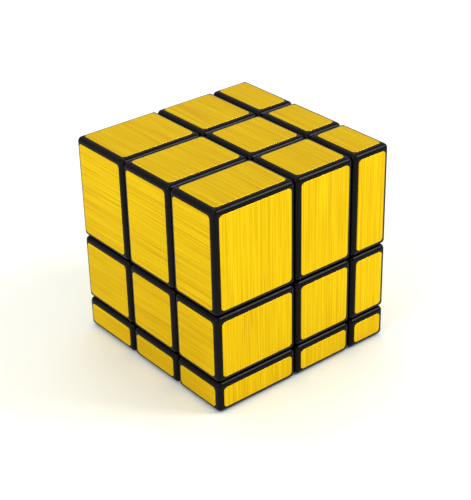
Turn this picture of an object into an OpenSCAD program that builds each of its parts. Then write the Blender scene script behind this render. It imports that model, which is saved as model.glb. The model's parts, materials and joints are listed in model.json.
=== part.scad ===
// Mirror block cube: a 3x3x3 twisty puzzle whose six outer layers all differ in thickness.
// +Z is up, the front is -Y, and the origin is the middle of the base.
// The three turning axes cross at the core, which sits off the middle of the cube.

/* [Cube] */
// Length of each side of the solved cube, over the foil stickers
side = 57; // [56.5:0.1:57.5]
// Thickness of each of the three middle slices
slice = 19; // [18.9:0.05:19.1]
// How far the core sits to the right of the middle
core_x = 6.5; // [6.3:0.1:6.8]
// How far the core sits to the back of the middle, or to the front where it is negative
core_y = -1.7; // [-2:0.1:-1.5]
// Height of the core above the base
core_z = 18.5; // [18.5:0.1:19]

/* [Blocks] */
// Running gap between neighbouring blocks
gap = 0.2; // [0.15:0.01:0.25]
// Radius of the blocks' edges
edge_r = 1.3; // [1:0.1:1.3]
// Wall of the hollow shells
wall = 1.6; // [1.4:0.1:1.8]
// Clearance between pieces that are pressed or screwed together
snug = 0.05; // [0.04:0.01:0.06]

/* [Foil stickers] */
// Thickness of the foil with its glue
foil_t = 0.15; // [0.12:0.01:0.18]
// Plastic left showing round each sticker
foil_margin = 1.5; // [1.3:0.1:1.6]
// Radius of the stickers' corners
foil_r = 1; // [0.8:0.1:1.2]

/* [Turning mechanism] */
// Inner radius of the feet, which slide round the core
foot_in = 12; // [11.9:0.05:12.1]
// Outer radius of the feet, which the centres and edges hook over
foot_out = 15.5; // [15.4:0.05:15.6]
// Radius at which a foot's dome meets its hollow shell
dome_r = 20; // [20:0.05:20.1]
// Slope of the cones between the feet of neighbouring layers
foot_slope = 18; // [17.5:0.1:18.5]
// Slope of the cones between the necks of neighbouring layers
neck_slope = 28.5; // [28.3:0.1:28.7]
// Radius that the plug of a foot reaches inside its shell
plug_r = 24; // [23:0.5:25]

/* [Core and axle hardware] */
// Radius of the core's hub
hub_r = 5.8; // [5.6:0.1:6]
// Radius of the core's six arms
arm_r = 3.3; // [3.2:0.1:3.4]
// Distance from the middle of the core to the end of an arm
arm_end = 8.8; // [8.6:0.1:8.8]
// Radius of a screw's shank
shank_r = 1.45; // [1.4:0.05:1.45]
// Radius of a screw's pan head
head_r = 2.7; // [2.5:0.1:2.7]
// Height of a screw's pan head
head_h = 1.6; // [1.4:0.1:1.6]
// Radius of a washer
washer_r = 2.9; // [2.8:0.1:2.9]
// Thickness of a washer
washer_t = 0.4; // [0.3:0.1:0.4]
// Mean radius of a spring's turns
spring_r = 2.1; // [2:0.05:2.15]
// Radius of a spring's wire
wire_r = 0.22; // [0.18:0.02:0.24]
// Turns in a spring
spring_turns = 4; // [3:1:4]

/* [Hidden] */
$fn = 48;
tiny = 0.01;
far = 60;
h = slice / 2;
core = [core_x, core_y, core_z];
reach_low = [side / 2 + core_x, side / 2 + core_y, core_z];
reach_high = [side / 2 - core_x, side / 2 - core_y, side - core_z];
half_block = h - gap / 2;
// Heights along an axle, measured from the middle of the core
stem_start = arm_end + 0.1;
waist = 1.5;
spring_floor = 11.6;
washer_low = 14.3;
head_low = washer_low + washer_t + snug;
head_top = head_low + head_h;
cup_floor = 17;
// The stem of a centre, which must pass between the feet
stem_r = 3.4;
collar_r = 4.3;
collar_low = 12.5;
collar_high = 14.6;
spring_pocket_r = 2.6;
head_pocket_r = 3.1;
screw_tip = 3.5;
screw_bore = shank_r + snug;
// Centre caps
cap_t = 1.5;
skirt_depth = 2.5;
skirt_t = 1.2;
// A centre too thin for a cup has a shallow square recess instead
thin_reach = cup_floor + 2;
thin_floor = 16.25;
thin_half = 6;

black = [0.11, 0.1, 0.13];
dark = [0.17, 0.17, 0.2];
gold = [0.93, 0.74, 0.1];
steel = [0.72, 0.73, 0.75];

function word(v, low, high) = v < 0 ? str("_", low) : v > 0 ? str("_", high) : "";
function place(d) = str(word(d.z, "bottom", "top"), word(d.y, "front", "back"), word(d.x, "left", "right"));
function sides_out(d) = abs(d.x) + abs(d.y) + abs(d.z);
function low(d, i) = d[i] < 0 ? foil_t - reach_low[i] : d[i] > 0 ? h + gap / 2 : -half_block;
function high(d, i) = d[i] < 0 ? -h - gap / 2 : d[i] > 0 ? reach_high[i] - foil_t : half_block;
function low_corner(d) = [for (i = [0:2]) low(d, i)];
function high_corner(d) = [for (i = [0:2]) high(d, i)];
function shrunk_low(d, t) = [for (v = low_corner(d)) v + t];
function shrunk_high(d, t) = [for (v = high_corner(d)) v - t];
function unit(i, s) = [for (j = [0:2]) j == i ? s : 0];
function reach(d) = max([for (i = [0:2]) d[i] < 0 ? reach_low[i] : d[i] > 0 ? reach_high[i] : 0]) - foil_t;

SPOTS = [for (z = [1, 0, -1]) for (y = [-1, 0, 1]) for (x = [-1, 0, 1]) [x, y, z]];
CENTRES = [for (d = SPOTS) if (sides_out(d) == 1) d];
EDGES = [for (d = SPOTS) if (sides_out(d) == 2) d];
CORNERS = [for (d = SPOTS) if (sides_out(d) == 3) d];

// Turns +Z to the outward axis d
module aim(d) {
    turn = d.z > 0 ? [0, 0, 0] : d.z < 0 ? [180, 0, 0] : d.y < 0 ? [90, 0, 0] : d.y > 0 ? [-90, 0, 0]
        : d.x > 0 ? [0, 90, 0] : [0, -90, 0];
    rotate(turn) children();
}

module rounded_rectangle(low, high, r) {
    size = high - low;
    translate([low.x + r, low.y]) square([size.x - 2 * r, size.y]);
    translate([low.x, low.y + r]) square([size.x, size.y - 2 * r]);
    for (x = [low.x + r, high.x - r]) {
        for (y = [low.y + r, high.y - r]) {
            translate([x, y]) circle(r);
        }
    }
}

module box(low, high) {
    translate(low) cube(high - low);
}

// A block with all its edges rounded: three rounded bars, crossed
module rounded_block(low, high, r) {
    intersection() {
        translate([0, 0, low.z])
            linear_extrude(high.z - low.z)
                rounded_rectangle([low.x, low.y], [high.x, high.y], r);
        translate([0, high.y, 0])
            rotate([90, 0, 0])
                linear_extrude(high.y - low.y)
                    rounded_rectangle([low.x, low.z], [high.x, high.z], r);
        translate([low.x, 0, 0])
            rotate([90, 0, 90])
                linear_extrude(high.x - low.x)
                    rounded_rectangle([low.y, low.z], [high.y, high.z], r);
    }
}

// The space above a cone that opens outwards along axis d, its tip at the core.
// A shift over nothing moves it outwards, and one under nothing moves it inwards.
module above_cone(d, slope, shift) {
    aim(d)
        translate([0, 0, shift / cos(slope)])
            cylinder(h = far * tan(slope), r1 = 0, r2 = far);
}

// A wedge between two radii: above the cones of the sides that d has, and below those of the
// sides that it doesn't have
module wedge(d, own_slope, other_slope, r_in, r_out) {
    clear = gap / 2;
    difference() {
        intersection() {
            sphere(r_out);
            intersection_for (i = [for (j = [0:2]) if (d[j] != 0) j])
                above_cone(unit(i, d[i]), own_slope, clear);
        }
        sphere(r_in);
        for (i = [for (j = [0:2]) if (d[j] == 0) j]) {
            above_cone(unit(i, 1), other_slope, -clear);
            above_cone(unit(i, -1), other_slope, -clear);
        }
    }
}

// The hollow outer shell of an edge or corner, open where its foot plugs in
module block_shell(d) {
    difference() {
        rounded_block(low_corner(d), high_corner(d), edge_r);
        box(shrunk_low(d, wall), shrunk_high(d, wall));
        sphere(dome_r + snug);
    }
}

// The hooked foot of an edge or corner: a claw under its neighbours, a waist that is clear of both
// sets of cones, a neck that fills the dome, and a plug inside the shell
module block_foot(d) {
    wedge(d, foot_slope, foot_slope, foot_in, foot_out - gap / 2);
    wedge(d, neck_slope, foot_slope, foot_out - waist, foot_out + waist);
    wedge(d, neck_slope, neck_slope, foot_out + gap / 2, dome_r);
    intersection() {
        box(shrunk_low(d, wall + snug), shrunk_high(d, wall + snug));
        sphere(plug_r);
    }
}

module block(d) {
    translate(core) {
        color(black) block_shell(d);
        color(dark) block_foot(d);
    }
}

// The cones of the four neighbouring layers, which trim a centre's sides
module side_cones() {
    for (i = [0:1]) {
        above_cone(unit(i, 1), neck_slope, -gap / 2);
        above_cone(unit(i, -1), neck_slope, -gap / 2);
    }
}

module square_bar(half, low, high) {
    translate([-half, -half, low]) cube([2 * half, 2 * half, high - low]);
}

module round_bar(r, low, high) {
    translate([0, 0, low]) cylinder(h = high - low, r = r);
}

function is_thin(d) = reach(d) < thin_reach;
function cup_half(d) = is_thin(d) ? thin_half : half_block - wall;
function cup_low(d) = is_thin(d) ? thin_floor : cup_floor;

// A centre's housing: a cup on a stem that the screw and spring hold to the core
module centre(d) {
    color(dark) translate(core) aim(d) difference() {
        union() {
            difference() {
                linear_extrude(reach(d) - cap_t)
                    rounded_rectangle([-half_block, -half_block], [half_block, half_block], edge_r);
                sphere(foot_out + gap / 2);
                side_cones();
            }
            round_bar(stem_r, stem_start, collar_high);
            translate([0, 0, collar_low])
                cylinder(h = collar_high - collar_low, r1 = stem_r, r2 = collar_r);
            round_bar(collar_r, collar_high, cup_low(d) - tiny);
        }
        square_bar(cup_half(d), cup_low(d), far);
        round_bar(screw_bore, stem_start - 1, spring_floor + 1);
        round_bar(spring_pocket_r, spring_floor, washer_low);
        round_bar(head_pocket_r, washer_low - snug, far);
    }
}

// A centre's lid, with a square skirt that snaps into the cup
module cap(d) {
    top = reach(d);
    skirt = cup_half(d) - snug;
    skirt_low = max(cup_low(d) + snug, top - cap_t - skirt_depth);
    color(black) translate(core) aim(d) {
        difference() {
            rounded_block([-half_block, -half_block, top - side / 3], [half_block, half_block, top], edge_r);
            square_bar(far, top - side, top - cap_t);
            side_cones();
        }
        difference() {
            square_bar(skirt, skirt_low, top - cap_t + tiny);
            square_bar(skirt - skirt_t, skirt_low - 1, top - cap_t);
        }
    }
}

// One sticker on the face that looks along the axis i in the sense s of the block d
module foil(d, i, s) {
    a = low_corner(d);
    b = high_corner(d);
    j = (i + 1) % 3;
    k = (i + 2) % 3;
    m = foil_margin;
    low = [a[j] + m, a[k] + m];
    high = [b[j] - m, b[k] - m];
    // The extrusion's x, y and z become the axes j, k and i
    turn = i == 0 ? [90, 0, 90] : i == 1 ? [-90, -90, 0] : [0, 0, 0];
    face = s > 0 ? b[i] : a[i] - foil_t;
    color(gold) translate(core + unit(i, face)) rotate(turn)
        linear_extrude(foil_t) rounded_rectangle(low, high, foil_r);
}

module foils(d) {
    for (i = [0:2]) {
        if (d[i] != 0) foil(d, i, d[i]);
    }
}

// The six-armed core that everything turns on
module core_spider() {
    color(dark) translate(core) difference() {
        union() {
            sphere(hub_r);
            for (d = CENTRES) aim(d) round_bar(arm_r, hub_r / 2 + 1, arm_end);
        }
        for (d = CENTRES) aim(d) round_bar(screw_bore, screw_tip - 0.3, far);
    }
}

// A pan head with a cross recess, over a plain shank
module screw() {
    edge = 0.4;
    recess_w = 0.8;
    recess_l = 2.8;
    recess_t = 0.9;
    round_bar(shank_r, screw_tip, head_low + tiny);
    difference() {
        union() {
            round_bar(head_r, head_low, head_top - edge);
            translate([0, 0, head_top - edge]) cylinder(h = edge, r1 = head_r, r2 = head_r - edge);
        }
        for (a = [0, 90]) {
            rotate(a) translate([-recess_l / 2, -recess_w / 2, head_top - recess_t])
                cube([recess_l, recess_w, 1]);
        }
    }
}

module washer() {
    difference() {
        round_bar(washer_r, washer_low, washer_low + washer_t);
        round_bar(shank_r + snug, washer_low - 1, washer_low + 1);
    }
}

// A compression spring: a round wire swept along a helix
module spring() {
    sides = 6;
    steps = 12;
    rings = steps * spring_turns;
    low = spring_floor + snug + wire_r;
    rise = washer_low - snug - wire_r - low;
    points = [
        for (i = [0:rings]) for (j = [0:sides - 1])
            let (turn = 360 * i / steps, a = 360 * j / sides, r = spring_r + wire_r * cos(a))
                [r * cos(turn), r * sin(turn), low + rise * i / rings + wire_r * sin(a)]
    ];
    near = [
        for (i = [0:rings - 1]) for (j = [0:sides - 1])
            [i * sides + j, i * sides + (j + 1) % sides, (i + 1) * sides + j]
    ];
    far_side = [
        for (i = [0:rings - 1]) for (j = [0:sides - 1])
            [i * sides + (j + 1) % sides, (i + 1) * sides + (j + 1) % sides, (i + 1) * sides + j]
    ];
    ends = [
        [for (j = [sides - 1:-1:0]) j],
        [for (j = [0:sides - 1]) rings * sides + j]
    ];
    polyhedron(points, concat(near, far_side, ends));
}

module axle_hardware() {
    color(steel) translate(core) {
        for (d = CENTRES) {
            aim(d) {
                screw();
                washer();
                spring();
            }
        }
    }
}

core_spider();
axle_hardware();
for (d = CENTRES) {
    centre(d);
    cap(d);
    foils(d);
}
for (d = EDGES) {
    block(d);
    foils(d);
}
for (d = CORNERS) {
    block(d);
    foils(d);
}
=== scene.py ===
"""The looks of the gold mirror block cube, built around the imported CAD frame. Lengths are in metres."""

import json
import math
import random

import bmesh
import bpy
from mathutils import Matrix, Vector


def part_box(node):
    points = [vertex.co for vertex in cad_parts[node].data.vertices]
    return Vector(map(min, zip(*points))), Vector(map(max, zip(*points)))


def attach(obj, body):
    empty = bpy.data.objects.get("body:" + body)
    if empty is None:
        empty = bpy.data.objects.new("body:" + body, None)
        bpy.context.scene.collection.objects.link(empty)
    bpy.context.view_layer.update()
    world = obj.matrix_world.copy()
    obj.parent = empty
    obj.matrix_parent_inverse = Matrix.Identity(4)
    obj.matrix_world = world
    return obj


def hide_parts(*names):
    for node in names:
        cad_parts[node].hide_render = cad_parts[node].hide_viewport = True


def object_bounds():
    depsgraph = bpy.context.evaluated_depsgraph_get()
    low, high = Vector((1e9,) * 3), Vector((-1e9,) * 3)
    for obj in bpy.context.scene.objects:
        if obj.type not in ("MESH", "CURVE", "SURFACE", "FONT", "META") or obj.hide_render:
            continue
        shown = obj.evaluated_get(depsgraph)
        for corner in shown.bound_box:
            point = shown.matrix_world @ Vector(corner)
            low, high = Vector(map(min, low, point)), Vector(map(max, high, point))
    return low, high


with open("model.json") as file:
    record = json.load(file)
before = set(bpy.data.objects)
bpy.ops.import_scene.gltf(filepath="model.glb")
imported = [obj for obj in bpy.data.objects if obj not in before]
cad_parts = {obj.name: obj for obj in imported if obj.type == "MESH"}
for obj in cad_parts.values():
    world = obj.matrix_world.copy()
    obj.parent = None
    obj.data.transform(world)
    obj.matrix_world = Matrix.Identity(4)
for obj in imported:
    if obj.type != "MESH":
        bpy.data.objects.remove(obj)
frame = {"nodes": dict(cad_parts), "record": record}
cad_low, cad_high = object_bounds()

MM = 0.001
CENTRE = (cad_low + cad_high) / 2
NODES = frame["nodes"]
BODIES = frame["record"]["behaviour"]["bodies"]
BODY_OF = {node: body for body, nodes in BODIES.items() for node in nodes}
# The cube's faces by axis and direction
FACES = {
    (0, -1): "left", (0, 1): "right",
    (1, -1): "front", (1, 1): "back",
    (2, -1): "bottom", (2, 1): "top",
}


# Camera and lights

AZIMUTH = math.radians(-38.75)
ELEVATION = math.radians(29.22)
ROLL = math.radians(-1.34)
DISTANCE = 0.3556
LENS = 96.86
AIM_RIGHT = 0.0005
AIM_UP = -0.00335

SKY_COLOUR = (0.97, 0.98, 1.05, 1)
SKY_STRENGTH = 0.81
# Each softbox as its place, the length of its side, and its power in watts
SOFTBOXES = {
    "front_box": ((0.49, -0.44, 0.61), 0.3, 3.3),
    "left_box": ((-0.8, -0.1, 0.5), 0.4, 2.6),
    "back_box": ((0.5, 0.5, 0.7), 0.5, 0.15),
    "roof_box": ((0.0, 0.24, 0.92), 0.7, 2.0),
}
FLOOR_HALF = 3
FLOOR_COLOUR = (0.89, 0.9, 0.8, 1)
FLOOR_ROUGHNESS = 0.6


def make_camera():
    """A long lens that looks down at the left and front faces."""
    back = Vector((
        math.sin(AZIMUTH) * math.cos(ELEVATION),
        -math.cos(AZIMUTH) * math.cos(ELEVATION),
        math.sin(ELEVATION),
    ))
    right = (-back).cross(Vector((0, 0, 1))).normalized()
    up = right.cross(-back)
    aim = CENTRE + right * AIM_RIGHT + up * AIM_UP
    data = bpy.data.cameras.new("camera")
    data.lens = LENS
    data.clip_start = 0.01
    data.clip_end = 20
    camera = bpy.data.objects.new("camera", data)
    bpy.context.scene.collection.objects.link(camera)
    camera.location = aim + back * DISTANCE
    look = (-back).to_track_quat("-Z", "Y").to_matrix() @ Matrix.Rotation(ROLL, 3, "Z")
    camera.rotation_euler = look.to_euler()
    bpy.context.scene.camera = camera


def area_light(name, place, size, power):
    """A square softbox at a place that looks at the cube."""
    data = bpy.data.lights.new(name, "AREA")
    data.size = size
    data.energy = power
    light = bpy.data.objects.new(name, data)
    bpy.context.scene.collection.objects.link(light)
    light.location = Vector(place)
    light.rotation_euler = (CENTRE - light.location).to_track_quat("-Z", "Y").to_euler()


def make_studio():
    """A white floor under a bright, even sky, with the softboxes."""
    scene = bpy.context.scene
    scene.view_settings.view_transform = "Standard"
    world = bpy.data.worlds.new("studio")
    scene.world = world
    world.use_nodes = True
    background = world.node_tree.nodes["Background"]
    background.inputs["Color"].default_value = SKY_COLOUR
    background.inputs["Strength"].default_value = SKY_STRENGTH
    for name, (place, size, power) in SOFTBOXES.items():
        area_light(name, place, size, power)
    mesh = bpy.data.meshes.new("floor")
    half = FLOOR_HALF
    corners = [(-half, -half, 0), (half, -half, 0), (half, half, 0), (-half, half, 0)]
    mesh.from_pydata(corners, [], [(0, 1, 2, 3)])
    floor = bpy.data.objects.new("floor", mesh)
    scene.collection.objects.link(floor)
    material = bpy.data.materials.new("white_sweep")
    material.use_nodes = True
    shader = material.node_tree.nodes["Principled BSDF"]
    shader.inputs["Base Color"].default_value = FLOOR_COLOUR
    shader.inputs["Roughness"].default_value = FLOOR_ROUGHNESS
    mesh.materials.append(material)


# Materials

class Maker:
    """Adds nodes to a material's tree in one line each."""

    def __init__(self, name):
        self.material = bpy.data.materials.new(name)
        self.material.use_nodes = True
        self.tree = self.material.node_tree
        self.shader = self.tree.nodes["Principled BSDF"]

    def link(self, source, node, socket):
        self.tree.links.new(source, node.inputs[socket])

    def node(self, kind, inputs=None, **settings):
        made = self.tree.nodes.new(kind)
        for key, value in settings.items():
            setattr(made, key, value)
        for socket, value in (inputs or {}).items():
            if isinstance(value, bpy.types.NodeSocket):
                self.link(value, made, socket)
            else:
                made.inputs[socket].default_value = value
        return made

    def noise(self, vector, scale, detail=2, roughness=0.5):
        return self.node(
            "ShaderNodeTexNoise",
            {"Vector": vector, "Scale": scale, "Detail": detail, "Roughness": roughness},
        ).outputs["Fac"]

    def stretch(self, vector, scale):
        return self.node("ShaderNodeMapping", {"Vector": vector, "Scale": scale}).outputs["Vector"]

    def spread(self, value, low, high, to_low=0, to_high=1):
        """Maps a value's range low to high onto another range."""
        return self.node(
            "ShaderNodeMapRange",
            {"Value": value, "From Min": low, "From Max": high, "To Min": to_low, "To Max": to_high},
        ).outputs["Result"]

    def math(self, operation, a, b):
        return self.node("ShaderNodeMath", {0: a, 1: b}, operation=operation).outputs["Value"]

    def blend(self, share, a, b):
        """A colour from a to b. A colour mix has its factor in socket 0 and its colours in 6 and 7."""
        mix = self.node("ShaderNodeMix", data_type="RGBA")
        self.link(share, mix, 0)
        mix.inputs[6].default_value = a
        mix.inputs[7].default_value = b
        return mix.outputs[2]

    def set(self, socket, value):
        if isinstance(value, bpy.types.NodeSocket):
            self.link(value, self.shader, socket)
        else:
            self.shader.inputs[socket].default_value = value

    def bump(self, height, distance, strength=1):
        made = self.node(
            "ShaderNodeBump",
            {"Height": height, "Distance": distance, "Strength": strength},
        )
        self.set("Normal", made.outputs["Normal"])


BRUSH_UV = "brush"
# A brush pattern's scale along the lines, across them, and out of the foil, per millimetre
FINE_LINES = (0.03, 8, 1)
COARSE_LINES = (0.018, 4.4, 1)
DARK_DASHES = (0.05, 7, 1)
GLOSS_BANDS = (0.02, 0.35, 1)
# The scales of the other patterns, per metre
SMUDGE_SCALE = 160
PEEL_SCALE = 2600
CLOUD_SCALE = 900
# Colours are linear
GOLD_DARK = (0.64, 0.345, 0.004, 1)
GOLD_BRIGHT = (0.9, 0.65, 0.007, 1)
GOLD_EDGE_ON = (1.0, 0.88, 0.62, 1)
ZINC_DARK = (0.5, 0.5, 0.52, 1)
ZINC_BRIGHT = (0.66, 0.66, 0.68, 1)
SHELL_BLACK = (0.0022, 0.0011, 0.0019, 1)
MECHANISM_BLACK = (0.008, 0.0075, 0.0105, 1)
SMUDGE_GAIN = 1.35


def gold_foil():
    """Straight-brushed gold foil. The UV map is in millimetres, with U along the brush lines."""
    m = Maker("gold_foil")
    uv = m.node("ShaderNodeUVMap", uv_map=BRUSH_UV).outputs["UV"]
    fine = m.noise(m.stretch(uv, FINE_LINES), 1, detail=2, roughness=0.6)
    lines = m.noise(m.stretch(uv, COARSE_LINES), 1, detail=2, roughness=0.65)
    dashes = m.spread(m.noise(m.stretch(uv, DARK_DASHES), 1, detail=0), 0.6, 0.68)
    bands = m.noise(m.stretch(uv, GLOSS_BANDS), 1, detail=1)
    streak = m.math("ADD", m.math("MULTIPLY", fine, 0.5), m.math("MULTIPLY", lines, 0.5))
    share = m.math("SUBTRACT", m.spread(streak, 0.36, 0.6), m.math("MULTIPLY", dashes, 0.5))
    m.set("Base Color", m.blend(share, GOLD_DARK, GOLD_BRIGHT))
    m.set("Specular Tint", GOLD_EDGE_ON)
    m.set("Metallic", 1.0)
    m.set("Roughness", m.spread(bands, 0.3, 0.7, 0.36, 0.4))
    m.set("Anisotropic", 0.6)
    tangent = m.node("ShaderNodeTangent", direction_type="UV_MAP", uv_map=BRUSH_UV)
    m.set("Tangent", tangent.outputs["Tangent"])
    m.bump(streak, 0.00001, 0.5)
    return m.material


def black_plastic(name, colour, rough):
    """Moulded plastic with a satin gloss, a faint orange peel and finger smudges."""
    m = Maker(name)
    place = m.node("ShaderNodeTexCoord").outputs["Object"]
    smudge = m.noise(place, SMUDGE_SCALE, detail=3)
    peel = m.noise(place, PEEL_SCALE, detail=1)
    smudged = tuple(SMUDGE_GAIN * c for c in colour[:3]) + (1,)
    m.set("Base Color", m.blend(m.spread(smudge, 0.3, 0.7), colour, smudged))
    m.set("Roughness", m.spread(smudge, 0.3, 0.7, rough, rough + 0.1))
    m.set("Specular IOR Level", 0.09)
    m.bump(peel, 0.000012, 0.4)
    return m.material


def zinc_steel():
    """Bright zinc-plated steel."""
    m = Maker("zinc_steel")
    place = m.node("ShaderNodeTexCoord").outputs["Object"]
    cloud = m.noise(place, CLOUD_SCALE, detail=3)
    m.set("Base Color", m.blend(m.spread(cloud, 0.3, 0.7), ZINC_DARK, ZINC_BRIGHT))
    m.set("Metallic", 1.0)
    m.set("Roughness", m.spread(cloud, 0.3, 0.7, 0.22, 0.36))
    m.bump(cloud, 0.00001, 0.3)
    return m.material


FOIL = gold_foil()
SHELL_PLASTIC = black_plastic("black_plastic", SHELL_BLACK, 0.15)
INNER_PLASTIC = black_plastic("mechanism_plastic", MECHANISM_BLACK, 0.36)
STEEL = zinc_steel()


def paint(piece, material):
    """Puts one material on a piece, in place of any that it has."""
    slots = piece.material_slots
    if not slots:
        piece.data.materials.append(material)
    for slot in slots:
        slot.material = material


# Mesh tools

# Points nearer to each other than this are one
WELD = 1e-7
FINE_WELD = 1e-8


def islands(node):
    """A CAD node's solids, each as its lowest corner, highest corner, and faces as lists of points."""
    mesh = bmesh.new()
    mesh.from_mesh(NODES[node].data)
    bmesh.ops.remove_doubles(mesh, verts=mesh.verts, dist=WELD)
    solid_of = {}
    solids = []
    for start in mesh.verts:
        if start in solid_of:
            continue
        solid_of[start] = len(solids)
        stack = [start]
        points = []
        while stack:
            vertex = stack.pop()
            points.append(vertex.co.copy())
            for edge in vertex.link_edges:
                other = edge.other_vert(vertex)
                if other not in solid_of:
                    solid_of[other] = len(solids)
                    stack.append(other)
        low = Vector(min(p[i] for p in points) for i in range(3))
        high = Vector(max(p[i] for p in points) for i in range(3))
        solids.append((low, high, []))
    for face in mesh.faces:
        solids[solid_of[face.verts[0]]][2].append([v.co.copy() for v in face.verts])
    mesh.free()
    return sorted(solids, key=lambda s: tuple(s[0]) + tuple(s[1]))


def add_object(name, mesh, material, body, node):
    """Turns a bmesh or mesh into a piece that rides on a body and stands for a CAD node."""
    if isinstance(mesh, bmesh.types.BMesh):
        data = bpy.data.meshes.new(name)
        mesh.to_mesh(data)
        mesh.free()
    else:
        data = mesh
        data.name = name
    piece = bpy.data.objects.new(name, data)
    bpy.context.scene.collection.objects.link(piece)
    paint(piece, material)
    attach(piece, body)
    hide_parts(node)
    return piece


def rounded_box(low, high, radius, steps=6):
    """A box with round edges and ball corners, as rings of points from its bottom to its top."""
    mesh = bmesh.new()
    rings = []
    for z, first in ((low.z + radius, -90), (high.z - radius, 0)):
        for step in range(steps + 1):
            lift = math.radians(first + 90 * step / steps)
            ring = []
            for turn, (sx, sy) in enumerate(((1, 1), (-1, 1), (-1, -1), (1, -1))):
                x = high.x - radius if sx > 0 else low.x + radius
                y = high.y - radius if sy > 0 else low.y + radius
                for part in range(steps + 1):
                    angle = math.radians(90 * (turn + part / steps))
                    out = radius * math.cos(lift)
                    ring.append(mesh.verts.new((
                        x + out * math.cos(angle),
                        y + out * math.sin(angle),
                        z + radius * math.sin(lift),
                    )))
            rings.append(ring)
    join_rings(mesh, rings)
    bmesh.ops.remove_doubles(mesh, verts=mesh.verts, dist=FINE_WELD)
    return mesh


def join_rings(mesh, rings, closed_ends=True):
    """Skins a list of equal rings of vertices, and caps the ends."""
    count = len(rings[0])
    for lower, upper in zip(rings, rings[1:]):
        for i in range(count):
            j = (i + 1) % count
            mesh.faces.new((lower[i], lower[j], upper[j], upper[i]))
    if closed_ends:
        mesh.faces.new(reversed(rings[0]))
        mesh.faces.new(rings[-1])


def plain_box(low, high):
    mesh = bmesh.new()
    middle = (low + high) / 2
    size = high - low
    place = Matrix.Translation(middle) @ Matrix.Diagonal((size.x, size.y, size.z, 1))
    bmesh.ops.create_cube(mesh, size=1, matrix=place)
    return mesh


def ball(centre, radius, around=72, up=36):
    mesh = bmesh.new()
    bmesh.ops.create_uvsphere(
        mesh, u_segments=around, v_segments=up, radius=radius, matrix=Matrix.Translation(centre)
    )
    return mesh


def axle_frame(axis, outward):
    """Turns +Z to an axle, about the core."""
    along = Vector([outward if i == axis else 0 for i in range(3)])
    return Matrix.Translation(CORE) @ along.to_track_quat("Z", "Y").to_matrix().to_4x4()


def turned(profile, around=32):
    """A solid of revolution about Z, from (radius, height) points that begin and end on the axis."""
    mesh = bmesh.new()
    rings = []
    for radius, height in profile:
        ring = []
        for i in range(around):
            angle = 2 * math.pi * i / around
            x, y = radius * math.cos(angle), radius * math.sin(angle)
            ring.append(mesh.verts.new((x, y, height)))
        rings.append(ring)
    join_rings(mesh, rings)
    bmesh.ops.remove_doubles(mesh, verts=mesh.verts, dist=FINE_WELD)
    return mesh


def combine(base, *steps):
    """Cuts or joins bmeshes, as (operation, bmesh) steps, and returns one mesh."""
    objects = []
    for mesh in [base] + [other for _, other in steps]:
        data = bpy.data.meshes.new("draft")
        mesh.to_mesh(data)
        mesh.free()
        draft = bpy.data.objects.new("draft", data)
        bpy.context.scene.collection.objects.link(draft)
        objects.append(draft)
    for (operation, _), other in zip(steps, objects[1:]):
        modifier = objects[0].modifiers.new("combine", "BOOLEAN")
        modifier.operation = operation
        modifier.solver = "EXACT"
        modifier.object = other
    graph = bpy.context.evaluated_depsgraph_get()
    result = bpy.data.meshes.new_from_object(objects[0].evaluated_get(graph))
    for draft in objects:
        data = draft.data
        bpy.data.objects.remove(draft)
        bpy.data.meshes.remove(data)
    return result


# Blocks and caps

CORE = (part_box("core_spider")[0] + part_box("core_spider")[1]) / 2
EDGE_R = 1.3 * MM
WALL = 1.6 * MM
DOME_R = 20.05 * MM
CAP_T = 1.5 * MM
SKIRT_T = 1.2 * MM
CAP_DEPTH = 8 * CAP_T
SKIRT_LAP = 0.3 * MM
# The slope of the cone between two layers, in degrees
LAYER_SLOPE = 28.5
LAYER_GAP = 0.12 * MM
LAYER_CONE = 26 * MM
# More than any lid's half-width
BEYOND = 20 * MM
NEAR = 0.002 * MM
DOME_NEAR = 20 * NEAR


def shade_shell(mesh, low, high):
    """Exact normals: round edges and ball corners blend into flat faces, and the dome is smooth."""
    inner_low = low + Vector((EDGE_R,) * 3)
    inner_high = high - Vector((EDGE_R,) * 3)

    def outward(point):
        held = Vector(min(max(point[i], inner_low[i]), inner_high[i]) for i in range(3))
        return point - held

    normals = [None] * len(mesh.loops)
    for face in mesh.polygons:
        points = [mesh.vertices[v].co for v in face.vertices]
        outer = all(abs(outward(p).length - EDGE_R) < NEAR for p in points)
        dome = all(abs((p - CORE).length - DOME_R) < DOME_NEAR for p in points)
        for index, point in zip(face.loop_indices, points):
            if outer:
                normals[index] = outward(point).normalized()
            elif dome:
                normals[index] = (CORE - point).normalized()
            else:
                normals[index] = face.normal.copy()
        face.use_smooth = True
    mesh.normals_split_custom_set(normals)


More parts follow.
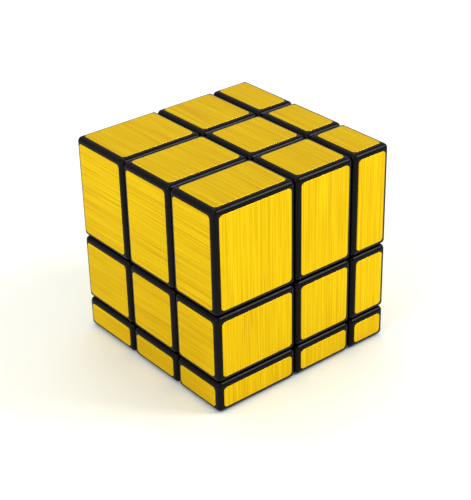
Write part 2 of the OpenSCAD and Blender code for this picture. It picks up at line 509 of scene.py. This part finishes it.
def make_block(node):
    """An edge or corner: its hollow shell, and the foot that the CAD model gives it."""
    block = node.split("_", 1)[1]
    solids = islands(node)

    def distance(solid):
        """The square of the way from the core to a solid's box."""
        return sum(max(solid[0][i] - CORE[i], CORE[i] - solid[1][i], 0) ** 2 for i in range(3))

    # The foot comes nearer to the core than the shell does
    solids.sort(key=distance)
    foot, shell = solids[0], solids[-1]
    low, high = shell[0], shell[1]
    wall = Vector((WALL,) * 3)
    hollow = plain_box(low + wall, high - wall)
    mesh = combine(
        rounded_box(low, high, EDGE_R),
        ("DIFFERENCE", hollow),
        ("DIFFERENCE", ball(CORE, DOME_R)),
    )
    shade_shell(mesh, low, high)
    add_object(f"shell_{block}", mesh, SHELL_PLASTIC, BODY_OF[node], node)
    draft = bmesh.new()
    for points in foot[2]:
        draft.faces.new([draft.verts.new(p) for p in points])
    bmesh.ops.remove_doubles(draft, verts=draft.verts, dist=WELD)
    flat = math.radians(0.1)
    bmesh.ops.dissolve_limit(draft, angle_limit=flat, verts=draft.verts, edges=draft.edges)
    for face in draft.faces:
        face.smooth = True
    name = f"foot_{block}"
    piece = add_object(name, draft, INNER_PLASTIC, BODY_OF[node], node)
    piece.data.set_sharp_from_angle(angle=math.radians(25))


def layer_cone(axis, outward):
    """The cone in which the feet of the layer on one side of the core turn."""
    rim = LAYER_CONE / math.tan(math.radians(LAYER_SLOPE))
    profile = [(0, -LAYER_GAP), (rim, LAYER_CONE - LAYER_GAP), (0, LAYER_CONE)]
    cone = turned(profile, around=96)
    cone.transform(axle_frame(axis, outward))
    return cone


def make_cap(node):
    """A centre's lid: a rounded slab, and the square skirt that snaps into the cup."""
    low, high = (Vector(v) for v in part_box(node))
    middle = (low + high) / 2
    axis = max(range(3), key=lambda i: abs(middle[i] - CORE[i]))
    outward = 1 if middle[axis] > CORE[axis] else -1
    top = (high if outward > 0 else low)[axis]
    foot = (low if outward > 0 else high)[axis]
    seam = top - outward * CAP_T
    deep = top - outward * CAP_DEPTH
    lip = [v.co for v in NODES[node].data.vertices if abs(v.co[axis] - foot) < NEAR]
    others = [i for i in range(3) if i != axis]
    half = max(abs(p[others[0]] - CORE[others[0]]) for p in lip)
    hole = half - SKIRT_T

    def span(reach, start, end):
        """The corners of a bar of half-width reach between two heights on the axle."""
        a = CORE - Vector((reach,) * 3)
        b = CORE + Vector((reach,) * 3)
        a[axis], b[axis] = min(start, end), max(start, end)
        return a, b

    body_low, body_high = low.copy(), high.copy()
    (body_low if outward > 0 else body_high)[axis] = deep
    ring = combine(
        plain_box(*span(half, foot, seam + outward * SKIRT_LAP)),
        ("DIFFERENCE", plain_box(*span(hole, foot - outward * MM, seam))),
    )
    skirt = bmesh.new()
    skirt.from_mesh(ring)
    bpy.data.meshes.remove(ring)
    cones = [("DIFFERENCE", layer_cone(i, side)) for i in others for side in (-1, 1)]
    mesh = combine(
        rounded_box(body_low, body_high, EDGE_R),
        ("DIFFERENCE", plain_box(*span(BEYOND, deep - outward * MM, seam))),
        *cones,
        ("UNION", skirt),
    )
    shade_shell(mesh, body_low, body_high)
    name = "lid_" + node.split("_", 1)[1]
    add_object(name, mesh, SHELL_PLASTIC, BODY_OF[node], node)


def make_blocks():
    for node in sorted(NODES):
        if node.startswith(("edge", "corner")):
            make_block(node)
        elif node.startswith("cap"):
            make_cap(node)


# Axle hardware

SHANK_R = 1.45 * MM
THREAD_PITCH = 0.8 * MM
THREAD_DEPTH = 0.26 * MM
HEAD_T = 1.6 * MM
HEAD_EDGE = 0.15 * MM
DOME_T = 0.75 * MM
CROSS_LENGTH = 2.9 * MM
CROSS_WIDTH = 0.75 * MM
CROSS_DEPTH = 1.0 * MM
WASHER_HOLE_R = 1.5 * MM
WASHER_EDGE = 0.08 * MM
WIRE_R = 0.22 * MM
COILS = 4


def threaded(low, high, radius, pitch, depth, around=24):
    """A threaded shank: the groove winds up it, and runs out at both ends."""
    mesh = bmesh.new()
    rows = int((high - low) / pitch * 8)
    rings = []
    for row in range(rows + 1):
        height = low + (high - low) * row / rows
        fade = min(1, (height - low) / pitch, (high - height) / pitch)
        tip = max(0, 1 - (height - low) / pitch)
        ring = []
        for i in range(around):
            turn = i / around
            phase = (height / pitch - turn) % 1
            groove = max(0, 1 - abs(phase - 0.5) * 2.6)
            r = radius - depth * groove * fade - 0.6 * depth * tip
            ring.append(mesh.verts.new((
                r * math.cos(2 * math.pi * turn),
                r * math.sin(2 * math.pi * turn),
                height,
            )))
        rings.append(ring)
    join_rings(mesh, rings)
    return mesh


def cross_wing(top, length, width, depth):
    """One wing of a cross recess, narrower at its bottom."""
    mesh = bmesh.new()
    rings = []
    for height, share in ((top - depth, 0.45), (top + 0.2 * MM, 1.08)):
        x, y = length / 2 * share, width / 2 * (0.4 + 0.6 * share)
        corners = ((x, y), (-x, y), (-x, -y), (x, -y))
        rings.append([mesh.verts.new((a, b, height)) for a, b in corners])
    join_rings(mesh, rings)
    return mesh


def make_screw(low, high, width):
    """A pan-head screw with a cross recess, from its tip to the top of its head."""
    head = width / 2
    neck = high - HEAD_T
    profile = [(0, neck), (head - HEAD_EDGE, neck), (head, neck + HEAD_EDGE)]
    for angle in range(0, 90, 10):
        lift = math.radians(angle)
        profile.append((head * math.cos(lift) ** 0.6, high - DOME_T + DOME_T * math.sin(lift)))
    profile.append((0, high))
    wing = cross_wing(high, CROSS_LENGTH, CROSS_WIDTH, CROSS_DEPTH)
    other = wing.copy()
    quarter = Matrix.Rotation(math.radians(90), 3, "Z")
    bmesh.ops.rotate(other, verts=other.verts, cent=(0, 0, 0), matrix=quarter)
    return combine(
        turned(profile),
        ("DIFFERENCE", wing),
        ("DIFFERENCE", other),
        ("UNION", threaded(low, neck + 0.2 * MM, SHANK_R, THREAD_PITCH, THREAD_DEPTH)),
    )


def make_washer(low, high, width):
    """A flat washer with broken edges."""
    outer, inner, edge = width / 2, WASHER_HOLE_R, WASHER_EDGE
    profile = [
        (inner, low + edge), (inner + edge, low), (outer - edge, low), (outer, low + edge),
        (outer, high - edge), (outer - edge, high), (inner + edge, high), (inner, high - edge),
    ]
    mesh = bmesh.new()
    around = 40
    rings = []
    for i in range(around):
        angle = 2 * math.pi * i / around
        x, y = math.cos(angle), math.sin(angle)
        rings.append([mesh.verts.new((r * x, r * y, h)) for r, h in profile])
    join_rings(mesh, rings + rings[:1], closed_ends=False)
    return mesh


def make_spring(low, high, width):
    """A compression spring of round wire."""
    steps, sides = 28, 10
    radius = width / 2 - WIRE_R
    start, rise = low + WIRE_R, high - low - 2 * WIRE_R
    mesh = bmesh.new()
    rings = []
    for i in range(COILS * steps + 1):
        share = i / (COILS * steps)
        angle = 2 * math.pi * COILS * share
        height = start + rise * share
        ring = []
        for j in range(sides):
            around = 2 * math.pi * j / sides
            r = radius + WIRE_R * math.cos(around)
            z = height + WIRE_R * math.sin(around)
            ring.append(mesh.verts.new((r * math.cos(angle), r * math.sin(angle), z)))
        rings.append(ring)
    join_rings(mesh, rings)
    return mesh


def make_hardware():
    """A screw, a washer and a spring on each axle."""
    node = "axle_hardware"
    for low, high, _ in islands(node):
        middle = (low + high) / 2 - CORE
        axis = max(range(3), key=lambda i: abs(middle[i]))
        outward = 1 if middle[axis] > 0 else -1
        start, end = sorted((abs(low[axis] - CORE[axis]), abs(high[axis] - CORE[axis])))
        width = (high - low)[(axis + 1) % 3]
        # A screw is longer than 8 mm, a spring is longer than 1 mm, and a washer is shorter
        if end - start > 8 * MM:
            kind, made = "screw", make_screw(start, end, width)
        elif end - start > MM:
            kind, made = "spring", make_spring(start, end, width)
        else:
            kind, made = "washer", make_washer(start, end, width)
        name = f"{kind}_{FACES[axis, outward]}"
        if isinstance(made, bmesh.types.BMesh):
            bmesh.ops.recalc_face_normals(made, faces=made.faces)
            for face in made.faces:
                face.smooth = True
        else:
            made.shade_smooth()
        piece = add_object(name, made, STEEL, BODY_OF[node], node)
        piece.data.transform(axle_frame(axis, outward))
        piece.data.set_sharp_from_angle(angle=math.radians(35))


# Foil stickers

FOIL_CORNER = 1.0 * MM
FOIL_EDGE = 0.05 * MM
CORNER_STEPS = 8
# Each sticker's stretch of the brushed sheet starts up to this many millimetres from the sheet's middle
SHEET_REACH = 500
SEED = 57


def rounded_outline(width, height, radius, inset):
    """The corners of a rounded rectangle about the middle, pulled in by inset."""
    points = []
    for turn, (sx, sy) in enumerate(((1, 1), (-1, 1), (-1, -1), (1, -1))):
        x = sx * (width / 2 - radius)
        y = sy * (height / 2 - radius)
        for step in range(CORNER_STEPS + 1):
            angle = math.radians(90 * (turn + step / CORNER_STEPS))
            reach = radius - inset
            points.append((x + reach * math.cos(angle), y + reach * math.sin(angle)))
    return points


def foil_tile(name, low, high, body, dice):
    """One sticker: a thin rounded tile with a soft edge, brushed along one side."""
    size = high - low
    normal_axis = min(range(3), key=lambda i: size[i])
    middle = (low + high) / 2
    outward = 1 if middle[normal_axis] > CENTRE[normal_axis] else -1
    # Brush lines run up the front and back faces, and front to back on all the others
    along_axis = 2 if normal_axis == 1 else 1
    normal = Vector([outward if i == normal_axis else 0 for i in range(3)])
    along = Vector([1 if i == along_axis else 0 for i in range(3)])
    across = normal.cross(along)
    width = size[along_axis]
    height = abs(size.dot(across))
    thick = size[normal_axis]
    rings = [
        (0, -thick / 2),
        (0, thick / 2 - FOIL_EDGE),
        (FOIL_EDGE * 0.3, thick / 2 - FOIL_EDGE * 0.3),
        (FOIL_EDGE, thick / 2),
    ]
    mesh = bmesh.new()
    uv_layer = mesh.loops.layers.uv.new(BRUSH_UV)
    loops = []
    for inset, level in rings:
        outline = rounded_outline(width, height, FOIL_CORNER, inset)
        loops.append([
            mesh.verts.new(middle + along * x + across * y + normal * level) for x, y in outline
        ])
    count = len(loops[0])
    for lower, upper in zip(loops, loops[1:]):
        for i in range(count):
            j = (i + 1) % count
            mesh.faces.new((lower[i], lower[j], upper[j], upper[i]))
    mesh.faces.new(loops[-1])
    mesh.faces.new(reversed(loops[0]))
    shift = Vector([dice.uniform(-SHEET_REACH, SHEET_REACH) for _ in range(2)])
    for face in mesh.faces:
        face.smooth = len(face.verts) == 4
        for loop in face.loops:
            place = loop.vert.co - middle
            loop[uv_layer].uv = shift + Vector((place.dot(along), place.dot(across))) / MM
    data = bpy.data.meshes.new(name)
    mesh.to_mesh(data)
    mesh.free()
    tile = bpy.data.objects.new(name, data)
    bpy.context.scene.collection.objects.link(tile)
    paint(tile, FOIL)
    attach(tile, body)
    return tile


def make_foils():
    """Every sticker, each cut from its own stretch of brushed sheet."""
    dice = random.Random(SEED)
    for node in sorted(NODES):
        if not node.startswith("foil"):
            continue
        for low, high, _ in islands(node):
            size = high - low
            axis = min(range(3), key=lambda i: size[i])
            side = 1 if (low + high)[axis] > 2 * CENTRE[axis] else -1
            block = node.split("_", 1)[1]
            name = f"sticker_{block}_on_{FACES[axis, side]}"
            tile = foil_tile(name, low, high, BODY_OF[node], dice)
            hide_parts(node)


make_camera()
make_studio()
make_foils()
make_blocks()
make_hardware()
for node, piece in NODES.items():
    if node.startswith(("centre", "core")):
        paint(piece, INNER_PLASTIC)
